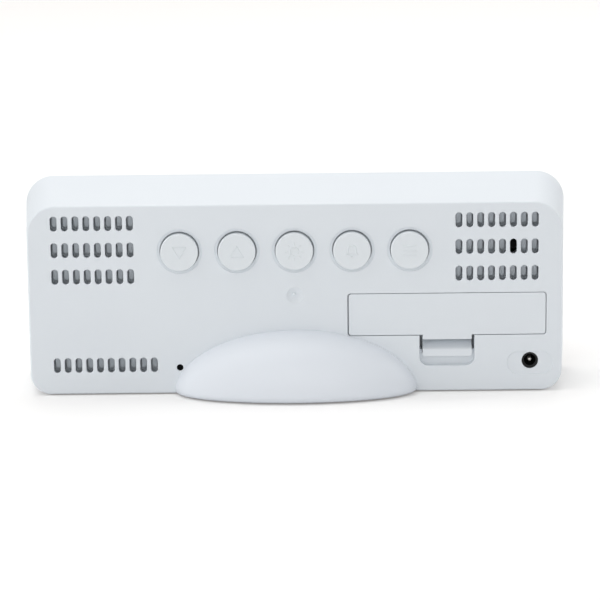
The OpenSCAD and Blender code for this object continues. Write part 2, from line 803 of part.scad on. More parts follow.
// Side view of a lug: a root behind the door and a tongue behind the rear wall.
module lug_side() {
    edge_z = door_mid_z + door_h / 2 - door_gap;
    translate([-lug_depth - lug_t, edge_z - lug_root])
        square([lug_depth + lug_t - door_t + skin, lug_root]);
    translate([-lug_depth - lug_t, edge_z - lug_root]) square([lug_t, lug_root + lug_rise]);
}

// One strip bent into a U: the upper leg starts behind the door's tab, the lower leg ends in
// a thumb lip and carries the hook.
module door_latch() color(white) across(door_u, latch_w) difference() {
    union() {
        translate([-bend_depth, bend_z]) circle(bend_r + leg_t);
        translate([-bend_depth, leg_low]) square([bend_depth - door_t, mouth_h + 2 * leg_t]);
        translate([-bend_depth, leg_low]) square([bend_depth - lip_set, leg_t]);
        translate([-lip_set - leg_t, mouth_low - lip_h]) square([leg_t, lip_h]);
        polygon([[-ledge_in - hook_w, mouth_low], [-ledge_in - 0.5, ledge_top - hook_bite],
            [-ledge_in - 0.1, ledge_top - hook_bite], [-ledge_in - 0.1, mouth_low]]);
    }
    translate([-bend_depth, bend_z]) circle(bend_r);
    translate([-bend_depth, mouth_low]) square([bend_depth, mouth_h]);
}

module battery_plate() color("silver")
    on_rear(door_u + bay_l / 2 - contact_t, door_mid_z, -bay_depth + 1) rotate([0, 90, 0]) {
        translate([-bay_h + 2, -bay_h / 2 + 1, 0]) cube([bay_h - 2, bay_h - 2, contact_t]);
        translate([-cell_d / 2 + 1, 0, -bump_h]) cylinder(d = 5, h = bump_h + skin);
    }

// Helix from the end wall towards the cell, on its own flat plate.
module battery_spring() color("silver") {
    turns = 4;
    per_turn = 12;
    spring_r = 3.2;
    coil_r = 0.35;
    x0 = -door_u + bay_l / 2;
    y0 = rear_y - bay_depth + cell_d / 2;
    on_rear(door_u - bay_l / 2, door_mid_z, -bay_depth + 1)
        translate([0, -bay_h / 2 + 1, 0]) cube([contact_t, bay_h - 2, bay_h - 2]);
    sweep([for (i = [0 : turns * per_turn]) let (a = i * 360 / per_turn)
            [x0 - contact_t - coil_r * 0.6 - (spring_free - 2 * coil_r) * i / (turns * per_turn),
                y0 + spring_r * cos(a), door_mid_z + spring_r * sin(a)]],
        ring(coil_r, 6), [1, 0, 0]);
}

module battery_leads() color("#b03030") {
    y = rear_y - bay_depth + 2;
    clear_y = rear_y - bay_depth - bay_wall - wire_r - fit;
    board_y = front_y + pcb_back;
    for (side = [-1, 1]) {
        x = -door_u + side * bay_l / 2;
        out = x + side * lead_turn;
        end_x = max(out, 2 - board_w / 2);
        sweep([[x, y, door_mid_z], [x + side * 0.8 * bay_wall, y, door_mid_z],
                [out, y - 1, door_mid_z], [out, clear_y, door_mid_z - 0.4],
                [end_x, board_y + lead_straight, door_mid_z - 1], [end_x, board_y, door_mid_z - 1]],
            ring(wire_r), [0, 0.05, 1]);
    }
}

// ---- power socket ----

module dc_jack() color("#141516") difference() {
    on_rear(jack_u, jack_z, -jack_set - jack_l)
        translate([-jack_w / 2, -jack_w / 2, 0]) cube([jack_w, jack_w, jack_l]);
    on_rear(jack_u, jack_z, -jack_set - jack_bore_l) cylinder(d = jack_bore_d, h = jack_bore_l + over);
}

module dc_pin() color("silver")
    on_rear(jack_u, jack_z, -jack_set - jack_bore_l) {
        cylinder(d = jack_pin_d, h = jack_bore_l - jack_pin_set - jack_pin_d / 2, $fn = 32);
        translate([0, 0, jack_bore_l - jack_pin_set - jack_pin_d / 2]) sphere(d = jack_pin_d, $fn = 32);
    }

module jack_leads() color("#202224") {
    start_y = rear_y - jack_set - jack_l;
    board_y = front_y + pcb_back;
    for (side = [-1, 1]) {
        x = -jack_u + side * jack_w / 4;
        end_x = -jack_u + jack_w + side * 1.2;
        end_z = jack_z + 0.8 * jack_w;
        sweep([[x, start_y, jack_z], [x, start_y - lead_straight, jack_z],
                [(3 * x + end_x) / 4, start_y - 2.6, (2 * jack_z + end_z) / 3],
                [end_x, board_y + 2 * lead_straight, end_z - 0.4],
                [end_x, board_y + lead_straight, end_z], [end_x, board_y, end_z]], ring(wire_r), [1, 0.05, 0]);
    }
}

// ---- sensors ----

module mic_sleeve() color("#1d1e20")
    on_rear(-mic_u, mic_z, -rear_wall - sleeve_l) difference() {
        cylinder(d = sleeve_d, h = sleeve_l);
        translate([0, 0, -over]) cylinder(d = mic_d, h = mic_l + over);
        cylinder(d = mic_hole_d, h = sleeve_l + over, $fn = 32);
    }

module microphone() color("#b9bcc0")
    on_rear(-mic_u, mic_z, -rear_wall - sleeve_l) cylinder(d = mic_d - fit, h = mic_l);

// Thermistor behind the open slot, on two leads from the main board.
module temperature_sensor() color("#24262a") {
    board_y = front_y + pcb_back;
    bead_y = rear_y - rear_wall - fit - bead_l;
    on_rear(sensor_u, sensor_z, -rear_wall - fit - bead_l) cylinder(d = bead_d, h = bead_l, $fn = 32);
    for (side = [-1, 1]) {
        x = -sensor_u + side * bead_d / 4;
        end_x = -sensor_u + side * bead_d / 2;
        end_z = sensor_z - bead_d;
        sweep([[x, bead_y, sensor_z], [x, bead_y - lead_straight, sensor_z],
                [(x + end_x) / 2, (bead_y + board_y) / 2, (sensor_z + end_z) / 2],
                [end_x, board_y + lead_straight, end_z], [end_x, board_y, end_z]],
            ring(sensor_wire_r), [1, 0.05, 0]);
    }
}

// ---- foot ----

// One level of the foot: half an ellipse against the rear face, less a wall all round, drawn
// inset by the lower edge's rounding and run on behind the face.
module foot_level(z, wall_t = 0, inset = 0, back = 0) {
    s = sqrt(1 - pow(z / (foot_h - wall_t), 2));
    w = s * (foot_spread * foot_w / 2 - wall_t);
    d = s * (foot_spread * foot_out - wall_t);
    translate([0, rear_y, z - (z > foot_h / 2 ? skin : 0)]) linear_extrude(skin) intersection() {
        offset(delta = -inset) scale([w, d]) circle(1, $fn = 72);
        translate([-w, -back]) square([2 * w, d + back]);
    }
}

// Heights of the levels between a given height and the foot's top.
function foot_heights(from_z, top_z) = let (start = asin(from_z / top_z))
    [for (i = [0 : foot_levels]) top_z * sin(start + (88 - start) * i / foot_levels)];

module foot_body() hull() {
    for (a = [0, 30, 60])
        foot_level(ground + foot_edge_r * (1 - cos(a)), 0, foot_edge_r * (1 - sin(a)));
    for (z = foot_heights(foot_widest_z, foot_h))
        foot_level(z);
}

module foot_hollow() hull()
    for (z = foot_heights(ground + pad_t + foot_wall, foot_h - foot_wall))
        foot_level(z, foot_wall, 0, over);

module at_foot_screws(out = 0)
    for (side = [-1, 1])
        on_rear(side * foot_screw_u, foot_screw_z, out) children();

// Hollow from the rear face, with two bosses left standing in it.
module rear_foot() color("#e3e8ed") difference() {
    foot_body();
    difference() {
        foot_hollow();
        at_foot_screws(-2 * over) cylinder(d = foot_boss_d, h = foot_out + 2 * over);
    }
    at_foot_screws(-over) cylinder(d = screw_d + fit, h = screw_l - rear_wall + over);
    pad_seats();
}

module foot_screws() color("silver")
    for (side = [-1, 1])
        on_rear(side * foot_screw_u, foot_screw_z, -rear_wall) rotate([180, 0, 0])
            screw(screw_d, screw_l, screw_d * 2, 1.2);

module rubber_pads() color("#9aa0a6") at_pads() cylinder(d = pad_d, h = pad_t);

rear_shell();
front_lens();
lens_tape();
display_frame();
frame_screws();
segment_diffuser();
segment_reflector();
segment_leds();
main_pcb();
pcb_screws();
control_chip();
buzzer();
key_pcb();
key_pcb_screws();
tact_switches();
key_ribbon();
key_cap(0);  // button_down
key_cap(1);  // button_up
key_cap(2);  // button_light
key_cap(3);  // button_alarm
key_cap(4);  // button_mode
plunger(0);  // plunger_down
plunger(1);  // plunger_up
plunger(2);  // plunger_light
plunger(3);  // plunger_alarm
plunger(4);  // plunger_mode
battery_door();
door_latch();
battery_spring();
battery_plate();
battery_leads();
dc_jack();
dc_pin();
jack_leads();
microphone();
mic_sleeve();
temperature_sensor();
rear_foot();
foot_screws();
rubber_pads();
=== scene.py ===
import math

import bmesh
import bpy
from mathutils import Matrix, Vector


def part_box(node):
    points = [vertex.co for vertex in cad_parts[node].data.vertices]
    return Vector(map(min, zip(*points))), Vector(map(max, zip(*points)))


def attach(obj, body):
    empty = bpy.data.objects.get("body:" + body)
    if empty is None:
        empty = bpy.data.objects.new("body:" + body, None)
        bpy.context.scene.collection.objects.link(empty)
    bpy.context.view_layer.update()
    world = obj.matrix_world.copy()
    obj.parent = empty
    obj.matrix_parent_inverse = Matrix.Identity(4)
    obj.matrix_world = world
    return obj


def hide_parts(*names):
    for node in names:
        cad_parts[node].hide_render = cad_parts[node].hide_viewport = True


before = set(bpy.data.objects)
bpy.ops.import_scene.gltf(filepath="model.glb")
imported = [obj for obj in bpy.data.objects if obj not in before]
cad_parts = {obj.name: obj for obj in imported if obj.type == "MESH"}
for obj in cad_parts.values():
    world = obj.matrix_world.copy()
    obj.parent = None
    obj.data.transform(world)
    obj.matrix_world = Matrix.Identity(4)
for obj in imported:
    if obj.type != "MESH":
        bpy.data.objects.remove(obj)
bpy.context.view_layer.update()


# ---- Rear shell ----
# One ABS moulding with the top, bottom, sides and rear wall in one piece, open at the front.
# Its steel tool is spark-eroded, so the skin comes out matt, and a small round is left on the
# edge of every vent and recess.

# Shapes are drawn in millimetres in the plane of the rear face, as seen from behind: X runs to
# the right, Y up from the table and Z out of the face. to_clock takes them to the clock.
mm = 0.001
# The frame's shell has low collars round its keys, which stand this far out past the rear face.
collar_h = 0.3
# From the rear edge to the front rim the top rises by draft and each side widens by side_draft.
draft = 3.75
side_draft = 2.9
shell_low, shell_high = (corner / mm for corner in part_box("rear_shell"))
rear_y = shell_high.y - collar_h
body_d = rear_y - shell_low.y
ground = shell_low.z
rear_w = shell_high.x - shell_low.x - 2 * side_draft
rear_h = shell_high.z - ground - draft
front_middle = (shell_low.z + shell_high.z) / 2
to_clock = Matrix.Scale(mm, 4) @ Matrix(((-1, 0, 0, 0), (0, 0, 1, rear_y), (0, 1, 0, 0), (0, 0, 0, 1)))

corner_r = 9.0
low_corner_r = 6.5
edge_r = 0.6
wall = 2.0
rear_wall = 2.4
rim_w = 1.1
rim_r = 0.4
seat_depth = 2.5
frame_back = 4.5
# Cuts reach this far past what they cut, and hair keeps two of them from sharing a face.
over = 1.0
hair = 0.01


def rounds(count):
    """Angles of a quarter turn, cut into so many steps."""
    return [math.radians(90 * i / count) for i in range(count + 1)]


def ring(bm, w, h, r, middle, z, low=None, steps=8):
    """Closed line with round corners, w by h over all; low is the radius of the lower two."""
    half_step = math.pi / (4 * steps)
    turn = Matrix.Rotation(half_step, 4, "Z")
    size = 1 / math.cos(half_step)
    points = bmesh.ops.create_circle(bm, segments=4 * steps, radius=size, matrix=turn)["verts"]
    for point in points:
        x, y = point.co.x, point.co.y
        corner = r if low is None or y > 0 else low
        x = corner * x + math.copysign(w / 2 - corner, x)
        y = corner * y + math.copysign(h / 2 - corner, y)
        point.co = (x + middle[0], y + middle[1], z)
    return points


def loft(bm, loops):
    """Closed solid through a row of closed lines with as many points each."""
    lines = [list({edge for point in loop for edge in point.link_edges}) for loop in loops]
    for here, there in zip(lines, lines[1:]):
        bmesh.ops.bridge_loops(bm, edges=here + there)
    for loop in (loops[0], loops[-1]):
        bm.faces.new(loop)


def stack(bm, rings, steps=8, turn=None):
    """Closed solid through a row of rings, each given as (w, h, r, middle, z) and perhaps low."""
    loops = [ring(bm, *each, steps=steps) for each in rings]
    loft(bm, loops)
    points = [point for loop in loops for point in loop]
    if turn:
        bmesh.ops.transform(bm, matrix=turn, verts=points)
    return points


def hole(w, h, r, middle, depth, lip, face=0.0, floor_r=0.0):
    """Rings of a cut with a moulded round at its mouth and, if asked, one at its floor."""
    rings = [(w + 2 * lip, h + 2 * lip, r + lip, middle, face + over)]
    for a in reversed(rounds(3)):
        grown = lip * (1 - math.cos(a))
        z = face - lip * (1 - math.sin(a))
        rings.append((w + 2 * grown, h + 2 * grown, r + grown, middle, z))
    for a in rounds(2) if floor_r else [0]:
        shrunk = floor_r * (1 - math.cos(a))
        z = -depth + floor_r * (1 - math.sin(a))
        rings.append((w - 2 * shrunk, h - 2 * shrunk, r - shrunk, middle, z))
    return rings


def solid(bm):
    """Turns a mesh's faces outwards and makes a scene object of it."""
    bmesh.ops.recalc_face_normals(bm, faces=bm.faces)
    mesh = bpy.data.meshes.new("shape")
    bm.to_mesh(mesh)
    bm.free()
    made = bpy.data.objects.new("shape", mesh)
    bpy.context.scene.collection.objects.link(made)
    return made


weld = 0.002
crisp_angle = math.radians(35)


def combine(one, other, operation):
    """Joins, cuts or intersects two closed meshes, and gives the result as one new mesh."""
    objects = [solid(one), solid(other)]
    cut = objects[0].modifiers.new("cut", "BOOLEAN")
    cut.operation = operation
    cut.solver = "EXACT"
    cut.use_self = True
    cut.object = objects[1]
    seen = bpy.context.evaluated_depsgraph_get()
    result = bpy.data.meshes.new_from_object(objects[0].evaluated_get(seen))
    for each in objects:
        bpy.data.objects.remove(each)
    made = bmesh.new()
    made.from_mesh(result)
    bpy.data.meshes.remove(result)
    bmesh.ops.remove_doubles(made, verts=made.verts, dist=weld)
    return made


def piece(name, bm, material, body, replaced):
    """Puts a finished mesh in the clock, with smooth rounds and crisp corners."""
    bm.transform(to_clock)
    mesh = bpy.data.meshes.new(name)
    bm.to_mesh(mesh)
    bm.free()
    mesh.shade_smooth()
    mesh.set_sharp_from_angle(angle=crisp_angle)
    mesh.materials.append(material)
    made = bpy.data.objects.new(name, mesh)
    bpy.context.scene.collection.objects.link(made)
    flats = made.modifiers.new("flats", "WEIGHTED_NORMAL")
    flats.keep_sharp = True
    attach(made, body)
    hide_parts(*replaced)


def skin(depth, inset, measured=None):
    """Ring of the drafted body at a depth, inset from its skin as that is there or where measured."""
    share = (depth if measured is None else measured) / body_d
    w = rear_w + 2 * (side_draft * share - inset)
    h = rear_h + draft * share - 2 * inset
    middle = (0, ground + inset + h / 2)
    return (w, h, corner_r - inset, middle, -depth, low_corner_r - inset)


shell = bmesh.new()
rear_edge = [skin(edge_r * (1 - math.cos(a)), edge_r * (1 - math.sin(a))) for a in rounds(6)]
front_rim = [skin(body_d - rim_r * (1 - math.sin(a)), rim_r * (1 - math.cos(a))) for a in rounds(4)]
seat_r = 0.2
seat = [skin(body_d - seat_r * (1 - math.cos(a)), rim_w - seat_r * (1 - math.sin(a)), body_d)
        for a in rounds(3)]
seat.append(skin(body_d - seat_depth, rim_w, body_d))
inside = [skin(depth, wall) for depth in (body_d - seat_depth, rear_wall)]
stack(shell, rear_edge + front_rim + seat + inside, steps=16)

# Keys: each hole lies in a round stepped recess, so that a finger finds the rim of its cap.
key_d = 11.8
key_gap = 0.3
key_hole_d = key_d + 2 * key_gap
key_pitch = 18.0
key_z = 46.1
key_names = ["down", "up", "light", "alarm", "mode"]
key_places = [((i - 2) * key_pitch, key_z) for i in range(len(key_names))]
sink_w = 0.9
sink_step = 0.25
sink_depth = 0.5

# Battery bay, its door and the latch under it. Beside the latch the shell closes up from just
# below the mouth, so the slits on either side of it end there.
door_w = 62.4
door_h = 13.7
door_u = 47.6
door_z = 18.3
door_t = 1.8
door_gap = 0.2
door_r = 1.0
door_lip = 0.12
door_ledge = door_t + door_gap
door_middle = (door_u, door_z + door_h / 2)
bay_w = 52.0
bay_h = 11.4
bay_depth = 12.95
bay_wall = 1.4
recess_w = 17.3
slit_w = 0.92
latch_w = recess_w - 2 * slit_w
leg_gap = 0.12
leg_play = 0.2
recess_z = 8.5
tab_h = 1.3
mouth_h = 3.5
leg_t = 1.0
bend_depth = 4.6
bend_play = 0.5
mouth_top = door_z - tab_h
mouth_low = mouth_top - mouth_h
slit_drop = 0.15
pocket_play = 0.4
ledge_top = mouth_low - leg_t - leg_play
slit_end = mouth_low - slit_drop
pocket_top = mouth_top + leg_t + pocket_play
pocket_depth = bend_depth + mouth_h / 2 + leg_t + bend_play
ledge_in = 3.6
ledge_t = 0.9
hook_bite = 0.4

# Posts for the display frame and the key board.
post_d = 6.0
post_u = 63.5
post_low = 7.5
post_drop = 0.7
post_high = 2 * front_middle - post_low - post_drop
key_post_d = 4.6
key_post_u = 46.0
key_board_depth = 9.0

# Vents: two groups of three rows and one low row of blind slots, in thicker patches of the wall.
# Each slot flares behind a short land, and its floor is a raised pad with a groove round it.
# One slot of the right group goes right through, for the temperature sensor.
slot_w = 2.1
slot_h = 4.7
slot_pitch = 3.4
slot_row_pitch = 8.5
slot_edge = rear_w / 2 - 8.45
slot_top = ground + rear_h - 5.6
slot_land = 0.6
slot_groove = 7.0
slot_flare = (0.35, 0.95)
slot_inside = (slot_w + 2 * slot_flare[0], slot_h + 2 * slot_flare[1], slot_w / 2 + slot_flare[0])
floor_depth = 3.8
floor_size = (slot_w - 0.6, slot_h - 0.9, slot_w / 2 - 0.3)
floor_lift = 0.15
floor_fall = 0.3
patch_edge = 2.4
slot_lip = 0.25
slot_columns = 8
slot_rows = 3
low_columns = 10
low_row_z = 9.65
bead_d = 2.6
bead_play = 0.4
sensor_lap = 0.3
group_middle = slot_edge - (slot_columns - 1) * slot_pitch / 2
slot_groups = [(side * group_middle, slot_top - slot_row_pitch, slot_columns, slot_rows) for side in (-1, 1)]
slot_groups.append(((low_columns - 1) * slot_pitch / 2 - slot_edge, low_row_z, low_columns, 1))
sensor_place = (slot_edge - 2 * slot_pitch, slot_top - slot_row_pitch)

jack_place = (73.7, 9.9)
jack_w = 6.6
jack_l = 11.0
jack_set = rear_wall / 2
jack_hole_d = 5.2
jack_flare_d = 6.2
cradle_t = 1.2
mic_place = (-36.5, 8.6)
mic_hole = (mic_place[0], mic_place[1] + 0.12)
mic_hole_d = 2.1
mic_flare_d = 3.6
mic_land = 0.5
hole_lip = 0.1
sleeve_d = 7.6
mic_ring_l = 3.4
# Parts that are pushed into the shell have this much play.
fit = 0.1
# Posts and blocks start inside the wall, at depths that differ, so that no two faces coincide.
post_root = -1.3
bay_root = -1.4
latch_root = -1.5
patch_root = -1.2


def disc(d, middle, z):
    """Ring of a round bar."""
    return (d, d, d / 2, middle, z)


def bar(w, h, middle, z_from, z_to, r=0.3):
    """Rings of a straight block with slightly round corners."""
    return [(w, h, r, middle, z_from), (w, h, r, middle, z_to)]


ribs = bmesh.new()
for side in (-1, 1):
    for height in (post_low, post_high):
        stack(ribs, [disc(post_d, (side * post_u, height), z) for z in (post_root, frame_back - body_d)])
    stack(ribs, [disc(key_post_d, (side * key_post_u, key_z), z) for z in (post_root, -key_board_depth)])
    cradle_u = jack_place[0] + side * (jack_w / 2 + fit + cradle_t / 2)
    stack(ribs, bar(cradle_t, jack_w, (cradle_u, jack_place[1]), post_root, -jack_set - jack_l))
door_block_h = door_h + 4
stack(ribs, bar(door_w + 2 * bay_wall, door_block_h, door_middle, post_root, -door_ledge - bay_wall))
stack(ribs, bar(bay_w + 2 * bay_wall, bay_h + 2 * bay_wall, door_middle, bay_root, -bay_depth - bay_wall))
latch_block_h = door_z - recess_z + 2 * bay_wall
latch_block = (door_u, (door_z + recess_z) / 2)
stack(ribs, bar(recess_w + 2 * bay_wall, latch_block_h, latch_block, latch_root, -pocket_depth - bay_wall))
stack(ribs, [disc(sleeve_d + 2, mic_place, z) for z in (post_root, -rear_wall - mic_ring_l)])
for u, v, columns, rows in slot_groups:
    patch_w = (columns - 1) * slot_pitch + slot_w + 2 * patch_edge
    patch_h = (rows - 1) * slot_row_pitch + slot_h + 2 * patch_edge
    patch_r = slot_w / 2 + patch_edge
    stack(ribs, bar(patch_w, patch_h, (u, v), patch_root, -slot_groove - slot_land, patch_r))
shell = combine(shell, ribs, "UNION")

cuts = bmesh.new()
floors = bmesh.new()
for u, v, columns, rows in slot_groups:
    for column in range(columns):
        for row in range(rows):
            place = (u + (column - (columns - 1) / 2) * slot_pitch,
                     v + (row - (rows - 1) / 2) * slot_row_pitch)
            rings = hole(slot_w, slot_h, slot_w / 2, place, slot_land, slot_lip)
            rings += [(*slot_inside, place, z) for z in (-floor_depth, -slot_groove)]
            stack(cuts, rings, steps=5)
            if math.dist(place, sensor_place) < slot_w:
                continue
            floor_place = (place[0], place[1] + floor_lift)
            floor_ends = (-floor_depth, -slot_groove - slot_land / 2)
            points = stack(floors, [(*floor_size, floor_place, z) for z in floor_ends], steps=5)
            for point in points[:len(points) // 2]:
                point.co.z += floor_fall * (point.co.y - floor_place[1])
sensor_bore = -slot_groove - slot_land - over
stack(cuts, [(*slot_inside, sensor_place, z) for z in (-floor_depth + sensor_lap, sensor_bore)], steps=5)
stack(cuts, [disc(bead_d + bead_play, sensor_place, z) for z in (-rear_wall, sensor_bore)])
for place in key_places:
    sink = [disc(key_hole_d + 2 * sink_w, place, z) for z in (over, -sink_step)]
    stack(cuts, sink + [disc(key_hole_d, place, z) for z in (-sink_depth, -rear_wall - over)], steps=16)
mic_rings = hole(mic_hole_d, mic_hole_d, mic_hole_d / 2, mic_hole, mic_land, hole_lip)
stack(cuts, mic_rings + [disc(mic_flare_d, mic_hole, -rear_wall - over)], steps=8)
stack(cuts, [disc(sleeve_d + fit, mic_place, z) for z in (-rear_wall, -rear_wall - mic_ring_l - over)])

# Moulding gate: a shallow bowl with the sheared stub of the sprue in it.
gate_place = (0.0, 31.6)
gate_d = 5.6
gate_depth = 1.0
gate = [disc(gate_d, gate_place, over)]
for share in [step / 8 for step in range(8, 0, -1)]:
    gate.append(disc(gate_d * share, gate_place, -gate_depth * (1 - share ** 2)))
stack(cuts, gate, steps=12)
stub_d = 1.0
stub_place = (gate_place[0] - 0.3, gate_place[1] + 0.3)
stub = [disc(stub_d, stub_place, -gate_depth - 0.3), disc(stub_d, stub_place, -0.3)]
stub += [disc(stub_d * share, stub_place, z) for share, z in ((0.8, -0.15), (0.4, -0.08))]

# Socket: a shallow dish with the hole in it.
dish_w = 14.4
dish_h = 7.4
dish_depth = 0.3
dish_r = dish_h / 2 - 0.05
dish_lip = 0.15
dish_place = (jack_place[0], jack_place[1] - 0.7)
stack(cuts, hole(dish_w, dish_h, dish_r, dish_place, dish_depth, dish_lip, floor_r=dish_lip), steps=16)
jack_rings = hole(jack_hole_d, jack_hole_d, jack_hole_d / 2, jack_place, 2 * dish_depth, hole_lip,
                  face=-dish_depth)
stack(cuts, jack_rings + [disc(jack_flare_d, jack_place, -rear_wall)], steps=12)
stack(cuts, bar(jack_w + fit, jack_w + fit, jack_place, -jack_set, -rear_wall - over))

# Foot screws, pilot holes and the seats of the rubber pads.
foot_screw_places = [(side * 18.0, 9.0) for side in (-1, 1)]
foot_screw_d = 2.6
pilot_d = 2.1
pilot_ends = (frame_back - body_d - over, -20.5)
key_pilot_d = 1.7
key_pilot_ends = (-key_board_depth - over, -4.0)
for side, place in zip((-1, 1), foot_screw_places):
    stack(cuts, [disc(foot_screw_d, place, z) for z in (over, -rear_wall - over)])
    for height in (post_low, post_high):
        stack(cuts, [disc(pilot_d, (side * post_u, height), z) for z in pilot_ends], steps=4)
    stack(cuts, [disc(key_pilot_d, (side * key_post_u, key_z), z) for z in key_pilot_ends], steps=4)
pad_d = 6.0
pad_t = 1.0
pad_front = (66.0, 26.0)
upright = Matrix.Rotation(math.radians(90), 4, "X")
for side in (-1, 1):
    pad_place = (side * pad_front[0], -pad_front[1])
    stack(cuts, [disc(pad_d + fit, pad_place, z) for z in (over, -pad_t)], turn=upright)
shell = combine(shell, cuts, "DIFFERENCE")
stack(floors, stub)
shell = combine(shell, floors, "UNION")


def prism(bm, outline, way):
    """Closed solid that a flat outline sweeps when it is moved."""
    face = bm.faces.new([bm.verts.new(point) for point in outline])
    moved = bmesh.ops.extrude_face_region(bm, geom=[face])["geom"]
    far = [each for each in moved if isinstance(each, bmesh.types.BMVert)]
    bmesh.ops.translate(bm, verts=far, vec=way)


def side_bar(bm, outline, middle, w):
    """Bar across the clock: its outline is given as (distance out of the face, height)."""
    prism(bm, [(middle - w / 2, y, z) for z, y in outline], (w, 0, 0))


bay = bmesh.new()
stack(bay, hole(door_w, door_h, door_r, door_middle, door_ledge, door_lip), steps=6)
stack(bay, bar(bay_w, bay_h, door_middle, -over, -bay_depth))
pocket = [(over, slit_end), (over, door_z + over), (-door_ledge, door_z + over),
          (-door_ledge, pocket_top), (-pocket_depth, pocket_top), (-pocket_depth, slit_end)]
side_bar(bay, pocket, door_u, recess_w)
leg_way_top = slit_end + 0.5
leg_way_back = -pocket_depth + hair
ledge_foot = ledge_top - ledge_t
leg_way = [(over, ledge_top), (over, leg_way_top), (leg_way_back, leg_way_top),
           (leg_way_back, ledge_foot), (-ledge_in, ledge_foot), (-ledge_in, ledge_top)]
side_bar(bay, leg_way, door_u, latch_w + 2 * leg_gap)
lug_u = 21.0
lug_w = 5.0
lug_play = 0.3
lug_way_w = lug_w + 2 * lug_play
lug_way_end = -3.9
for side in (-1, 1):
    lug_place = (door_u + side * lug_u, door_z + door_h)
    below = (lug_place[0], lug_place[1] - 0.7)
    behind = (lug_place[0], lug_place[1] + 0.5)
    stack(bay, bar(lug_way_w, 3.0, below, -door_ledge + hair, lug_way_end))
    stack(bay, bar(lug_way_w, 1.5, behind, -rear_wall, lug_way_end))
shell = combine(shell, bay, "DIFFERENCE")

# Finger scoop under the latch, with an upright back and a round corner at its foot.
scoop_depth = 2.1
scoop_r = 0.3
scoop_corner_r = 2.8
scoop_place = (door_u, recess_z + recess_w / 2)
scoop = bmesh.new()
stack(scoop, hole(recess_w, recess_w, scoop_corner_r, scoop_place, scoop_depth + over, door_lip), steps=8)
low_line = [(2 * over, recess_z - over), (0, recess_z - over), (-0.1, recess_z)]
curve = [(-scoop_depth + scoop_r * (1 - math.sin(a)), recess_z + scoop_r * (1 - math.cos(a)))
         for a in rounds(6)]
top_line = [(-scoop_depth, slit_end + hair), (2 * over, slit_end + hair)]
profile = bmesh.new()
side_bar(profile, low_line + curve + top_line, door_u, recess_w + 2 * over)
shell = combine(shell, combine(scoop, profile, "INTERSECT"), "DIFFERENCE")


def linear(code):
    """A hex colour as it is written on screen, in Blender's linear numbers."""
    parts = [int(code[i:i + 2], 16) / 255 for i in (1, 3, 5)]
    return [c / 12.92 if c <= 0.04045 else ((c + 0.055) / 1.055) ** 2.4 for c in parts] + [1.0]


def add(material, kind, inputs=(), **settings):
    """Adds one node with its settings; an input is a value or another node's output."""
    made = material.node_tree.nodes.new("ShaderNode" + kind)
    for name, value in settings.items():
        setattr(made, name, value)
    for name, value in dict(inputs).items():
        if isinstance(value, bpy.types.NodeSocket):
            material.node_tree.links.new(value, made.inputs[name])
        else:
            made.inputs[name].default_value = value
    return made


def blank(name):
    """Empty node material."""
    made = bpy.data.materials.new(name)
    made.use_nodes = True
    made.node_tree.nodes.clear()
    return made


cloud_size = 35
mottle = 0.05


def moulded(name, colour, shade, roughness, grain, relief, ior=1.53, soft=0.0):
    """Moulded plastic: faint flow clouds in the colour, and the grain of the tool as fine relief."""
    made = blank(name)
    place = add(made, "TexCoord").outputs["Object"]
    cloud = add(made, "TexNoise", {"Vector": place, "Scale": 1 / (cloud_size * mm), "Detail": 3.0})
    tint = add(made, "Mix", {"Factor": cloud.outputs["Fac"], 6: linear(colour), 7: linear(shade)},
               data_type="RGBA")
    fine = add(made, "TexNoise", {"Vector": place, "Scale": 1 / (grain * mm), "Detail": 2.0})
    gloss = add(made, "MapRange", {"Value": fine.outputs["Fac"],
                                   3: roughness - mottle, 4: roughness + mottle})
    raised = add(made, "Bump", {"Height": fine.outputs["Fac"], "Distance": relief * mm, "Strength": 1.0})
    shader = add(made, "BsdfPrincipled", {
        "Base Color": tint.outputs[2], "Roughness": gloss.outputs[0], "Normal": raised.outputs[0], "IOR": ior,
        "Subsurface Weight": soft, "Subsurface Scale": 1.0 * mm})
    add(made, "OutputMaterial", {"Surface": shader.outputs[0]})
    return made


# Matt ABS from a spark-eroded tool: light spreads softly, with no clear highlight. The grain is
# about 0.1 mm on the real thing and is drawn at 0.5 mm, so that it shows.
shell_abs = moulded("matt_white_abs", "#E3E8EC", "#DFE4E9", 0.52, 0.5, 0.006)
piece("clock_shell", shell, shell_abs, "clock", ["rear_shell"])


# ---- Keys ----
# Five ABS caps, polished in the tool, each with a rolled edge and a half-round sign that stands
# a little proud. A flange behind the rear wall keeps each one in, and a switch springs it back.
key_proud = 1.3
key_edge_r = 0.4
flange_depth = rear_wall + fit
flange_t = 1.0
flange_w = 1.0
flange_d = key_hole_d + 2 * flange_w
flange_edge = 0.1
flange_back = -flange_depth - flange_t
stem_d = 3.5
stem_l = 1.4
stem_depth = flange_depth + flange_t + stem_l
stroke_r = 0.2
dish_of_key = 0.12
# The caps hang a little low in their holes, by their own weight.
key_sag = Matrix.Translation((-0.06, -0.2, 0))


def turn_points(radius, count, middle=(0, 0), start=90):
    """Points round a circle."""
    angles = [math.radians(start + 360 * i / count) for i in range(count)]
    return [(middle[0] + radius * math.cos(a), middle[1] + radius * math.sin(a)) for a in angles]


bell = [(-1.9, -1.1), (-1.35, -0.5), (-1.25, 0.5)]
for a in [math.radians(180 - 15 * i) for i in range(1, 12)]:
    bell.append((1.25 * math.cos(a), 0.6 + 1.25 * math.sin(a)))
bell += [(1.25, 0.5), (1.35, -0.5), (1.9, -1.1)]
sun_rays = [[(2.1 * x, 2.1 * y), (2.9 * x, 2.9 * y)] for x, y in turn_points(1, 8)]
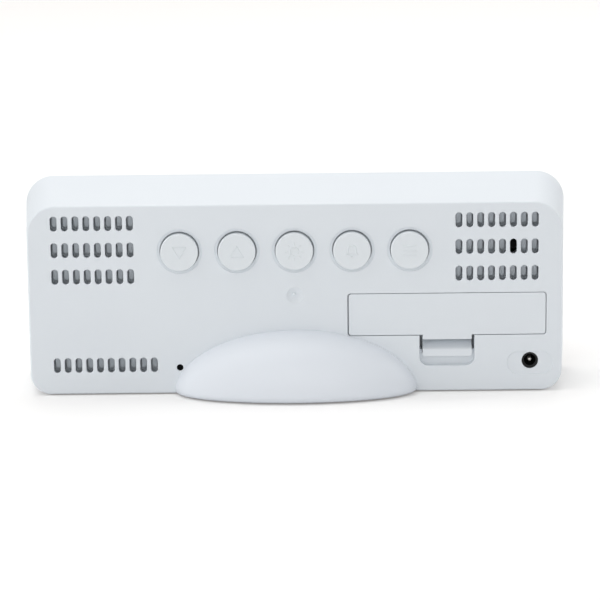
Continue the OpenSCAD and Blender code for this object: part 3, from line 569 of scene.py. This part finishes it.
# Each sign is a list of strokes: (points, closed).
signs = {
    "down": [(turn_points(2.4, 3, (0, 0.5), 270), True)],
    "up": [(turn_points(2.4, 3, (0, -0.5), 90), True)],
    "light": [(turn_points(1.35, 24), True)] + [(ray, False) for ray in sun_rays],
    "alarm": [(bell, True), ([(-0.45, -1.75), (0, -1.95), (0.45, -1.75)], False)],
    "mode": [([(-2.1, y), (2.1, y)], False) for y in (-1.5, 0, 1.5)],
}


def strokes(lines, place, z):
    """Half-round raised lines on a face, as closed tubes that are sunk to their middle."""
    curve = bpy.data.curves.new("sign", "CURVE")
    curve.dimensions = "3D"
    curve.bevel_depth = stroke_r
    curve.bevel_resolution = 2
    curve.use_fill_caps = True
    for points, closed in lines:
        line = curve.splines.new("POLY")
        line.points.add(len(points) - 1)
        for at, (x, y) in zip(line.points, points):
            at.co = (place[0] + x, place[1] + y, z, 1)
        line.use_cyclic_u = closed
    holder = bpy.data.objects.new("sign", curve)
    bpy.context.scene.collection.objects.link(holder)
    seen = bpy.context.evaluated_depsgraph_get()
    mesh = bpy.data.meshes.new_from_object(holder.evaluated_get(seen))
    bpy.data.objects.remove(holder)
    return mesh


# Satin ABS: the same white, but polished, so each rolled edge carries a thin soft highlight.
key_abs = moulded("satin_white_abs", "#E3E8EB", "#DFE4E8", 0.38, 0.5, 0.003)
for name, place in zip(key_names, key_places):
    cap = bmesh.new()
    rings = [disc(stem_d, place, -stem_depth), disc(stem_d, place, flange_back)]
    rings += [disc(flange_d, place, z) for z in (flange_back + flange_edge, -flange_depth - flange_edge)]
    rings.append(disc(key_d, place, -flange_depth))
    for a in rounds(8):
        edge_d = key_d - 2 * key_edge_r * (1 - math.cos(a))
        rings.append(disc(edge_d, place, key_proud - key_edge_r * (1 - math.sin(a))))
    flat_d = key_d - 2 * key_edge_r
    for share in (0.75, 0.5, 0.25):
        rings.append(disc(flat_d * share, place, key_proud - dish_of_key * (1 - share ** 2)))
    stack(cap, rings, steps=16)
    bmesh.ops.recalc_face_normals(cap, faces=cap.faces)
    sign = strokes(signs[name], place, key_proud - dish_of_key)
    cap.from_mesh(sign)
    bpy.data.meshes.remove(sign)
    cap.transform(key_sag)
    piece("key_cap_" + name, cap, key_abs, name + "_key", ["button_" + name])


# ---- Battery door ----
# Flat ABS lid that sits flush in its recess. A tab hangs from its lower edge over the latch, and
# two lugs on its upper edge hook behind the rear wall.
lid_r = 0.8
# The lid rests against one side of its recess, so its gap is a little wider on the other.
lid_rest = Matrix.Translation((0.09, 0.02, 0))


def along(edge, axis):
    """Whether an edge runs along an axis."""
    way = (edge.verts[1].co - edge.verts[0].co).normalized()
    return abs(way[axis]) > 0.99


lid_low = door_z + door_gap
lid_high = door_z + door_h - door_gap
lid_side_gap = 0.32
lid_left = door_u - door_w / 2 + lid_side_gap
lid_right = door_u + door_w / 2 - lid_side_gap
tab_left = door_u - latch_w / 2
tab_right = door_u + latch_w / 2
lid_outline = [(lid_left, lid_low), (tab_left, lid_low), (tab_left, mouth_top), (tab_right, mouth_top),
               (tab_right, lid_low), (lid_right, lid_low), (lid_right, lid_high), (lid_left, lid_high)]
lid = bmesh.new()
prism(lid, [(x, y, -door_t) for x, y in lid_outline], (0, 0, door_t))
corners = [edge for edge in lid.edges if along(edge, 2)]
lid_corners = [edge for edge in corners if abs(edge.verts[0].co.x - door_u) > latch_w]
bmesh.ops.bevel(lid, geom=lid_corners, offset=lid_r, segments=5, profile=0.5, affect="EDGES", material=-1)
rim = [edge for edge in lid.edges if all(abs(point.co.z) < 0.001 for point in edge.verts)]
bmesh.ops.bevel(lid, geom=rim, offset=door_lip, segments=3, profile=0.5, affect="EDGES", material=-1)
lug_top = 1.1
lug_root = -door_t + hair
lug_face = -rear_wall - door_gap
lug_back = -rear_wall - 1.2
lug_low = lid_high - lug_top
lug_high = lid_high + lug_top
lug = [(lug_back, lug_low), (lug_root, lug_low), (lug_root, lid_high),
       (lug_face, lid_high), (lug_face, lug_high), (lug_back, lug_high)]
for side in (-1, 1):
    side_bar(lid, lug, door_u + side * lug_u, lug_w)
bmesh.ops.recalc_face_normals(lid, faces=lid.faces)
lid.transform(lid_rest)
piece("battery_lid", lid, shell_abs, "battery_lid", ["battery_door"])


# ---- Door latch ----
# Spring of the lid, moulded with it as one strip bent into a U. Its upper leg starts behind the
# tab, and its lower leg ends in a thumb lip and carries the hook that snaps behind the shell.
lip_h = 2.0
lip_set = 0.75
lip_r = 0.7
hook_w = 1.1
hook_tip = 0.5
hook_play = 0.1
bend_r = mouth_h / 2
bend_z = mouth_top - bend_r
leg_low = mouth_low - leg_t
roll_depth = 5.7
roll_h = mouth_h - 0.3
roll_power = 1.35
lip_tilt = 0.4


def bend(radius):
    """Half circle round the closed end of the U."""
    steps = [math.radians(90 + 15 * i) for i in range(13)]
    return [(-bend_depth + radius * math.cos(a), bend_z + radius * math.sin(a)) for a in steps]


def roll():
    """Upper side of the lip: it rolls back under the tab in one smooth curve."""
    shares = [i / 16 for i in range(17)]
    return [(-lip_set - roll_depth * share ** roll_power, mouth_low + roll_h * share) for share in shares]


lip_foot = mouth_low - lip_h
hook_low = ledge_top - hook_bite
strip = [(-door_t, mouth_top + leg_t)] + bend(bend_r + leg_t)
strip += [(-ledge_in - hook_w, leg_low), (-ledge_in - hook_tip, hook_low), (-ledge_in - hook_play, hook_low),
          (-ledge_in - hook_play, leg_low), (-lip_set - leg_t, leg_low), (-lip_set - leg_t, lip_foot),
          (-lip_set + lip_tilt, lip_foot)]
strip += roll() + [(-lip_set - roll_depth, mouth_top), (-door_t, mouth_top)]
latch = bmesh.new()
side_bar(latch, strip, door_u, latch_w)
bmesh.ops.recalc_face_normals(latch, faces=latch.faces)
lip_ends = [edge for edge in latch.edges
            if along(edge, 2) and all(point.co.y < lip_foot + hair for point in edge.verts)]
bmesh.ops.bevel(latch, geom=lip_ends, offset=lip_r, segments=5, profile=0.5, affect="EDGES", material=-1)
latch.transform(lid_rest)
piece("door_spring_latch", latch, shell_abs, "battery_lid", ["door_latch"])


# ---- Stand foot ----
# Hollow ABS dome screwed on from inside the shell, in the same white with a smoother skin.
# Its lower edge is rolled under, so that only the pads touch the table.
foot_w = 76.2
foot_out = 15.6
foot_h = 20.5
foot_edge_r = 2.0
foot_wall = 2.0
foot_widest = ground + foot_edge_r
foot_spread = 1 / math.sqrt(1 - (foot_widest / foot_h) ** 2)
foot_boss_d = 6.0
foot_pads = (20.0, 6.0)
foot_pilot_end = 5.6
hollow_edge_r = 0.5
dome_steps = 40


def oval(bm, height, wall_t, inset):
    """Level outline of the foot's ellipsoid at a height, moved in along its own normal."""
    share = math.sqrt(1 - (height / (foot_h - wall_t)) ** 2)
    across = share * (foot_spread * foot_w / 2 - wall_t)
    out = share * (foot_spread * foot_out - wall_t)
    points = bmesh.ops.create_circle(bm, segments=192, radius=1.0)["verts"]
    for point in points:
        x, z = point.co.x, point.co.y
        steep = math.hypot(x / across, z / out)
        point.co = (x * across - inset * x / (across * steep), height, z * out - inset * z / (out * steep))
    return points


def dome(wall_t, floor, edge, back):
    """Half of the ellipsoid behind the rear face, with a round lower edge and a flat floor."""
    bm = bmesh.new()
    loops = [oval(bm, floor + edge * (1 - math.cos(a)), wall_t, edge * (1 - math.sin(a)))
             for a in rounds(6)[:-1]]
    top = foot_h - wall_t
    start = math.asin((floor + edge) / top)
    last = math.radians(89.5)
    turns = [start + (last - start) * i / dome_steps for i in range(dome_steps + 1)]
    loops += [oval(bm, top * math.sin(turn), wall_t, 0) for turn in turns]
    loft(bm, loops)
    cut = bmesh.ops.bisect_plane(bm, geom=bm.verts[:] + bm.edges[:] + bm.faces[:], plane_co=(0, 0, back),
                                 plane_no=(0, 0, 1), clear_inner=True)["geom_cut"]
    bmesh.ops.contextual_create(bm, geom=[each for each in cut if isinstance(each, bmesh.types.BMEdge)])
    bmesh.ops.recalc_face_normals(bm, faces=bm.faces)
    return bm


bosses = bmesh.new()
foot_cuts = bmesh.new()
for side, place in zip((-1, 1), foot_screw_places):
    stack(bosses, [disc(foot_boss_d, place, z) for z in (-2 * over, foot_out + 2 * over)])
    stack(foot_cuts, [disc(pilot_d, place, z) for z in (-over, foot_pilot_end)], steps=4)
    pad_place = (side * foot_pads[0], foot_pads[1])
    stack(foot_cuts, [disc(pad_d + fit, pad_place, z) for z in (over, -pad_t)], turn=upright)
hollow = combine(dome(foot_wall, ground + pad_t + foot_wall, hollow_edge_r, -over), bosses, "DIFFERENCE")
foot = combine(combine(dome(0, ground, foot_edge_r, 0.0), hollow, "DIFFERENCE"), foot_cuts, "DIFFERENCE")
# Smooth ABS: a finer tool than the shell's, so the dome shows a broad soft sheen along its crown.
foot_abs = moulded("smooth_white_abs", "#E4E8EE", "#E0E5EB", 0.42, 0.5, 0.003)
piece("stand_foot", foot, foot_abs, "clock", ["rear_foot"])


# ---- Foot screws and other steel screws ----
# Cross-head screws of zinc-plated steel, shaped as the frame has them. Two hold the foot, four
# the display frame, four the main board and two the key board.


def dress(material, *nodes):
    """Gives parts that are right as they are their finish."""
    for name in nodes:
        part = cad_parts[name]
        part.data.materials.clear()
        part.data.materials.append(material)


def plated(name, colour, shade, rough_low, rough_high, patch):
    """Plated metal: cloudy plating in the colour and in the polish, with fine drawn scratches."""
    made = blank(name)
    place = add(made, "TexCoord").outputs["Object"]
    cloud = add(made, "TexNoise", {"Vector": place, "Scale": 1 / (patch * mm), "Detail": 4.0})
    tint = add(made, "Mix", {"Factor": cloud.outputs["Fac"], 6: linear(colour), 7: linear(shade)},
               data_type="RGBA")
    drawn = add(made, "Mapping", {"Vector": place, "Scale": (1 / (3 * mm), 1 / (0.15 * mm), 1 / (0.15 * mm))})
    lines = add(made, "TexNoise", {"Vector": drawn.outputs[0], "Scale": 1.0, "Detail": 2.0})
    polish = add(made, "MapRange", {"Value": cloud.outputs["Fac"], 3: rough_low, 4: rough_high})
    relief = add(made, "Bump", {"Height": lines.outputs["Fac"], "Distance": 0.003 * mm, "Strength": 1.0})
    shader = add(made, "BsdfPrincipled", {"Base Color": tint.outputs[2], "Metallic": 1.0,
                                          "Roughness": polish.outputs[0], "Normal": relief.outputs[0]})
    add(made, "OutputMaterial", {"Surface": shader.outputs[0]})
    return made


# Zinc plate: cool grey metal, duller in patches where the passivated skin is thicker.
dress(plated("zinc_plated_steel", "#C4C8CC", "#A9AEB4", 0.28, 0.5, 1.2),
      "foot_screws", "frame_screws", "pcb_screws", "key_pcb_screws")


# ---- Rubber pads ----
# Four silicone discs pressed into round seats, two under the front corners and two under the
# foot. They carry the clock clear of the table.
# Silicone: a soft matt grey with dust-fine mottling, and light that sinks a little way in.
dress(moulded("grey_silicone", "#9AA0A6", "#858B92", 0.72, 0.3, 0.012, ior=1.41, soft=0.15), "rubber_pads")


# ---- Power socket ----
# Moulded nylon block in a cradle behind the rear wall, with a round bore and a nickel pin in the
# middle. Two black leads run from it to the main board.
# Nylon: black with a dull sheen, so the bore stays dark round its pin.
dress(moulded("black_nylon", "#050505", "#030303", 0.65, 0.3, 0.004), "dc_jack")
# Nickel: a bright warm plating that picks out the pin, the spring and the contact plate.
nickel_plate = plated("nickel_plate", "#EBE8E2", "#D9D5CD", 0.4, 0.55, 0.8)
dress(nickel_plate, "dc_pin")
# PVC: smooth extruded insulation, glossier than the mouldings, its black a little brown.
dress(moulded("black_pvc", "#16171A", "#101113", 0.3, 1.5, 0.01), "jack_leads")


# ---- Microphone ----
# Small electret capsule in a rubber sleeve behind its hole. The capsule is a drawn can whose open
# end is covered with black felt.
mic_face_depth = 2.9
felt_edge = 0.05
# Silicone: deep matt black that hides the gap round the capsule.
dress(moulded("black_silicone", "#0C0C0D", "#080809", 0.8, 0.3, 0.01, ior=1.41), "mic_sleeve")
# Drawn aluminium with a matt black felt end: metal is told from felt by the distance to the rear.
can = blank("felt_faced_can")
place = add(can, "TexCoord").outputs["Object"]
depth = add(can, "SeparateXYZ", {"Vector": place}).outputs["Y"]
felt = add(can, "Math", {0: depth, 1: (rear_y - mic_face_depth - felt_edge) * mm}, operation="GREATER_THAN")
bare = add(can, "Math", {0: 1.0, 1: felt.outputs[0]}, operation="SUBTRACT")
fibre = add(can, "TexNoise", {"Vector": place, "Scale": 1 / (0.12 * mm), "Detail": 4.0})
shine = add(can, "Mix", {"Factor": fibre.outputs["Fac"], 6: linear("#B9BCC0"), 7: linear("#A6AAAE")},
            data_type="RGBA")
tint = add(can, "Mix", {"Factor": felt.outputs[0], 6: shine.outputs[2], 7: linear("#060606")},
           data_type="RGBA")
polish = add(can, "MapRange", {"Value": felt.outputs[0], 3: 0.3, 4: 0.95})
relief = add(can, "Bump", {"Height": fibre.outputs["Fac"], "Distance": 0.01 * mm, "Strength": 1.0})
shader = add(can, "BsdfPrincipled", {"Base Color": tint.outputs[2], "Metallic": bare.outputs[0],
                                     "Roughness": polish.outputs[0], "Normal": relief.outputs[0]})
add(can, "OutputMaterial", {"Surface": shader.outputs[0]})
dress(can, "microphone")


# ---- Temperature sensor ----
# Thermistor bead behind the open vent slot, dipped in epoxy, on two coated leads.
# Epoxy: cured black with a slight orange peel. Its ior is kept low, since a bead so deep in its
# slot catches no highlight and only looks dark.
dress(moulded("black_epoxy", "#050505", "#030303", 0.8, 0.4, 0.008, ior=1.25), "temperature_sensor")


# ---- Battery contacts and leads ----
# Coil spring and pressed plate, each on the bay's end wall, with a red lead from each through the
# wall to the main board.
dress(nickel_plate, "battery_spring", "battery_plate")
# PVC: saturated red with a clear highlight along the wire.
dress(moulded("red_pvc", "#B02A28", "#98201F", 0.3, 1.5, 0.01), "battery_leads")


# ---- Boards ----
# The main board screws on behind the display and the key board behind the keys: glass-fibre
# plates under green solder mask, with the copper tracks showing through as paler lines.
track_pitch = 1.3
track_block = 9.0


def wave_scale(pitch):
    """Scale of a wave texture whose bands lie this many millimetres apart."""
    return 1 / (pitch * mm) / 6.2832 * 2


def masked_board(name):
    """Green solder mask over tracks that run across in some blocks and upright in others."""
    made = blank(name)
    place = add(made, "TexCoord").outputs["Object"]
    flow = {"Vector": place, "Scale": wave_scale(track_pitch), "Distortion": 0.0}
    flat_tracks = add(made, "TexWave", flow, bands_direction="Z")
    upright_tracks = add(made, "TexWave", flow, bands_direction="X")
    blocks = add(made, "TexNoise", {"Vector": place, "Scale": 1 / (track_block * mm), "Detail": 0.0})
    pick = add(made, "Math", {0: blocks.outputs["Fac"], 1: 0.5}, operation="GREATER_THAN")
    both = add(made, "Mix", {"Factor": pick.outputs[0],
                             2: flat_tracks.outputs["Fac"], 3: upright_tracks.outputs["Fac"]})
    track = add(made, "MapRange", {"Value": both.outputs[0], 1: 0.6, 2: 0.7})
    plane = add(made, "Mix", {"Factor": blocks.outputs["Fac"], 6: linear("#174D2E"), 7: linear("#1D5A37")},
                data_type="RGBA")
    tint = add(made, "Mix", {"Factor": track.outputs[0], 6: plane.outputs[2], 7: linear("#2F7A4A")},
               data_type="RGBA")
    relief = add(made, "Bump", {"Height": track.outputs[0], "Distance": 0.035 * mm, "Strength": 1.0})
    gloss = add(made, "MapRange", {"Value": blocks.outputs["Fac"], 3: 0.22, 4: 0.38})
    shader = add(made, "BsdfPrincipled", {"Base Color": tint.outputs[2], "Roughness": gloss.outputs[0],
                                          "Normal": relief.outputs[0]})
    add(made, "OutputMaterial", {"Surface": shader.outputs[0]})
    return made


# Solder mask: a glossy dark green lacquer that stands up slightly over each track.
dress(masked_board("green_solder_mask"), "main_pcb", "key_pcb")
# Moulding epoxy: dull charcoal, on the chip, the buzzer and the switches with their plungers.
dress(moulded("dark_moulding", "#1B1C1F", "#141517", 0.42, 0.4, 0.006),
      "control_chip", "buzzer", "tact_switches", *["plunger_" + name for name in key_names])

# Ribbon: grey flat cable whose eight round cores stand up as parallel ribs.
core_pitch = 1.0
cable = blank("grey_ribbon_cable")
place = add(cable, "TexCoord").outputs["Object"]
cores = add(cable, "TexWave", {"Vector": place, "Scale": wave_scale(core_pitch), "Distortion": 0.0},
            bands_direction="X")
# Painted shade and highlight: the grey is darker in the grooves between the cores and lighter on their
# crests, following the ribs.
tint = add(cable, "Mix", {"Factor": cores.outputs["Fac"], 6: linear("#7D8187"), 7: linear("#9CA1A7")},
           data_type="RGBA")
relief = add(cable, "Bump", {"Height": cores.outputs["Fac"], "Distance": 0.2 * mm, "Strength": 1.0})
shader = add(cable, "BsdfPrincipled", {"Base Color": tint.outputs[2], "Roughness": 0.45,
                                       "Normal": relief.outputs[0]})
add(cable, "OutputMaterial", {"Surface": shader.outputs[0]})
dress(cable, "key_ribbon")


# ---- Display ----
# Behind the mirror lens lie the tape and frame that hold it, a milky film, and a white reflector
# whose seven-bar wells lead the light of one LED each to the front.
# Reflector: chalk-white ABS loaded with titanium oxide, matt so that it scatters.
dress(moulded("white_reflector", "#F0F0EE", "#E8E8E5", 0.6, 0.5, 0.004, soft=0.1), "segment_reflector")
# LED: clear resin over yellow phosphor, so a wet gloss on a warm cream body.
dress(moulded("phosphor_resin", "#F2E9B8", "#E9DC97", 0.12, 0.4, 0.003, ior=1.5, soft=0.3), "segment_leds")
# Film: milky polyester with a very fine tooth, slightly warm.
dress(moulded("milky_film", "#EAE7DC", "#E3DFD2", 0.55, 0.2, 0.003, ior=1.6, soft=0.2), "segment_diffuser")
# Frame: plain dark ABS, seen only with the lens off.
dress(moulded("dark_frame_abs", "#2A2C30", "#232528", 0.48, 0.5, 0.006), "display_frame")
# Foam tape: soft black with open cells that break its surface.
dress(moulded("black_foam", "#141416", "#0C0C0E", 0.9, 0.35, 0.06), "lens_tape")

# Mirror acrylic: a smoked sheet with a thin metal coat on its back. It is almost black, with a
# sharp reflection a few times stronger than plain plastic's, bent very slightly by the sheet's waves.
mirror = blank("smoked_mirror_acrylic")
place = add(mirror, "TexCoord").outputs["Object"]
wave = add(mirror, "TexNoise", {"Vector": place, "Scale": 1 / (60 * mm), "Detail": 1.0})
haze = add(mirror, "TexNoise", {"Vector": place, "Scale": 1 / (18 * mm), "Detail": 3.0})
tint = add(mirror, "Mix", {"Factor": haze.outputs["Fac"], 6: linear("#0D0E11"), 7: linear("#121418")},
           data_type="RGBA")
polish = add(mirror, "MapRange", {"Value": haze.outputs["Fac"], 3: 0.02, 4: 0.06})
relief = add(mirror, "Bump", {"Height": wave.outputs["Fac"], "Distance": 0.08 * mm, "Strength": 1.0})
shader = add(mirror, "BsdfPrincipled", {"Base Color": tint.outputs[2], "Roughness": polish.outputs[0],
                                        "Normal": relief.outputs[0], "IOR": 1.9})
add(mirror, "OutputMaterial", {"Surface": shader.outputs[0]})
lens_low, lens_high = (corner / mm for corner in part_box("front_lens"))
lens_w = lens_high.x - lens_low.x
lens_h = lens_high.z - lens_low.z
lens_r = corner_r - rim_w
lens_edge = 0.2
lens_middle = (0, (lens_low.z + lens_high.z) / 2)
lens_rings = []
for face, way in ((rear_y - lens_high.y, 1), (rear_y - lens_low.y, -1)):
    rings = []
    for inset in (0.0, lens_edge):
        z = -face - way * (lens_edge - inset)
        rings.append((lens_w - 2 * inset, lens_h - 2 * inset, lens_r - inset, lens_middle, z,
                      low_corner_r - rim_w - inset))
    lens_rings += rings[::-1] if way > 0 else rings
lens = bmesh.new()
stack(lens, lens_rings, steps=12)
bmesh.ops.recalc_face_normals(lens, faces=lens.faces)
piece("mirror_lens", lens, mirror, "clock", ["front_lens"])


# ---- Table, light and camera ----
# A white table that runs on into a white room, and six soft boxes all round the clock. The camera
# stands behind the clock and a little above it, and looks through a long lens.
floor_half = 6.0
bm = bmesh.new()
bmesh.ops.create_grid(bm, x_segments=1, y_segments=1, size=floor_half)
mesh = bpy.data.meshes.new("table")
bm.to_mesh(mesh)
bm.free()
table = bpy.data.objects.new("table", mesh)
bpy.context.scene.collection.objects.link(table)
# Paper: matt white. Where the camera sees it, it glows more the farther off it is, from glow_near
# to glow_far metres, so that the shadow shows and the table fades into the room.
glow_near = 0.4
glow_far = 2.5
glow_low = 0.155
glow_high = 0.77
paper = blank("white_paper")
matt = add(paper, "BsdfDiffuse", {"Color": linear("#EDEDED")})
seen = add(paper, "LightPath").outputs["Is Camera Ray"]
place = add(paper, "TexCoord").outputs["Object"]
away = add(paper, "VectorMath", {0: place}, operation="LENGTH").outputs["Value"]
level = add(paper, "MapRange", {"Value": away, 1: glow_near, 2: glow_far, 3: glow_low, 4: glow_high})
lift = add(paper, "Math", {0: seen, 1: level.outputs[0]}, operation="MULTIPLY")
glow = add(paper, "Emission", {"Color": linear("#FFF8F1"), "Strength": lift.outputs[0]})
both = add(paper, "AddShader", {0: matt.outputs[0], 1: glow.outputs[0]})
add(paper, "OutputMaterial", {"Surface": both.outputs[0]})
mesh.materials.append(paper)

# The room gives an even light from all sides and is plain white where the camera sees it.
world = bpy.data.worlds.new("studio")
bpy.context.scene.world = world
world.use_nodes = True
world.node_tree.nodes.clear()
seen = add(world, "LightPath").outputs["Is Camera Ray"]
strength = add(world, "MapRange", {"Value": seen, 3: 0.3, 4: 1.0})
sky = add(world, "Background", {"Color": (1, 1, 1, 1), "Strength": strength.outputs[0]})
add(world, "OutputWorld", {"Surface": sky.outputs[0]})


lamp_aim = (0, 0, 0.03)


def soft_box(name, around, up, power, size=1.0, distance=1.2):
    """Square lamp that faces the clock, at an angle round it from the rear and one above the table."""
    lamp = bpy.data.lights.new(name, "AREA")
    lamp.shape = "SQUARE"
    lamp.size = size
    lamp.energy = power
    made = bpy.data.objects.new(name, lamp)
    bpy.context.scene.collection.objects.link(made)
    turn = Matrix.Rotation(math.radians(-around), 4, "Z") @ Matrix.Rotation(math.radians(up - 90), 4, "X")
    made.matrix_world = Matrix.Translation(lamp_aim) @ turn @ Matrix.Translation((0, 0, distance))
    made.visible_camera = False


soft_box("back_light", 180, 60, 5.6)
soft_box("high_left_light", 60, 70, 5.05)
soft_box("left_light", 90, 18, 3.6, 0.8)
soft_box("low_left_light", 45, 20, 1.0, 0.8)
soft_box("front_light", 0, 20, 3.6, 0.8, 1.3)
soft_box("right_light", -100, 25, 4.8, 0.8)

camera_place = (-9.37, rear_y + 942.15, 244.72)
camera_yaw = 0.476
camera_pitch = 12.829
camera_roll = -0.689
view = bpy.data.cameras.new("camera")
view.sensor_width = 36.0
view.lens = 184.88
view.clip_end = 50.0
camera = bpy.data.objects.new("camera", view)
bpy.context.scene.collection.objects.link(camera)
camera.matrix_world = (Matrix.Translation([mm * each for each in camera_place])
                       @ Matrix.Rotation(math.radians(180 + camera_yaw), 4, "Z")
                       @ Matrix.Rotation(math.radians(90 - camera_pitch), 4, "X")
                       @ Matrix.Rotation(math.radians(camera_roll), 4, "Z"))
bpy.context.scene.camera = camera
bpy.context.scene.view_settings.view_transform = "Standard"
